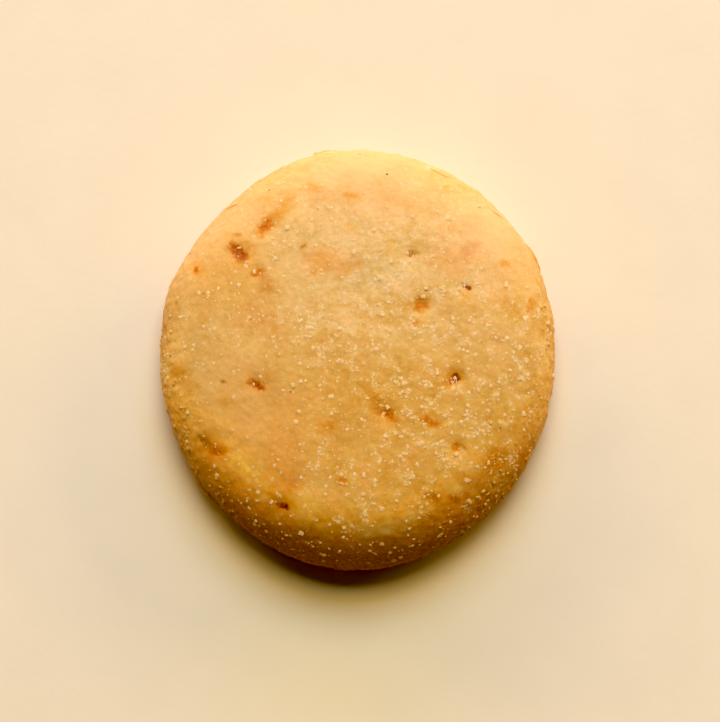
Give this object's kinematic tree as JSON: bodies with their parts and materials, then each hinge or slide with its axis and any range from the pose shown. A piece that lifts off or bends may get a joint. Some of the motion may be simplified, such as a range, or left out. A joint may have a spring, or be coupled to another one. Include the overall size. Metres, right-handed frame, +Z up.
{
  "type": "cheese biscuit",
  "caption": "Thick, slightly oval savoury biscuit with a flat base, a softly rounded edge and coarse salt grains baked onto its top and side.",
  "frame": {"origin": "centre of the biscuit's outline, on the surface that its flat base lies on", "axes": "+Z up through the top, +Y along the long way of the oval, +X across it"},
  "size_m": [0.0502, 0.0543, 0.0109],
  "materials": {
    "crust": "matte"
  },
  "bodies": {
    "root": {"biscuit": "crust"}
  },
  "joints": []
}
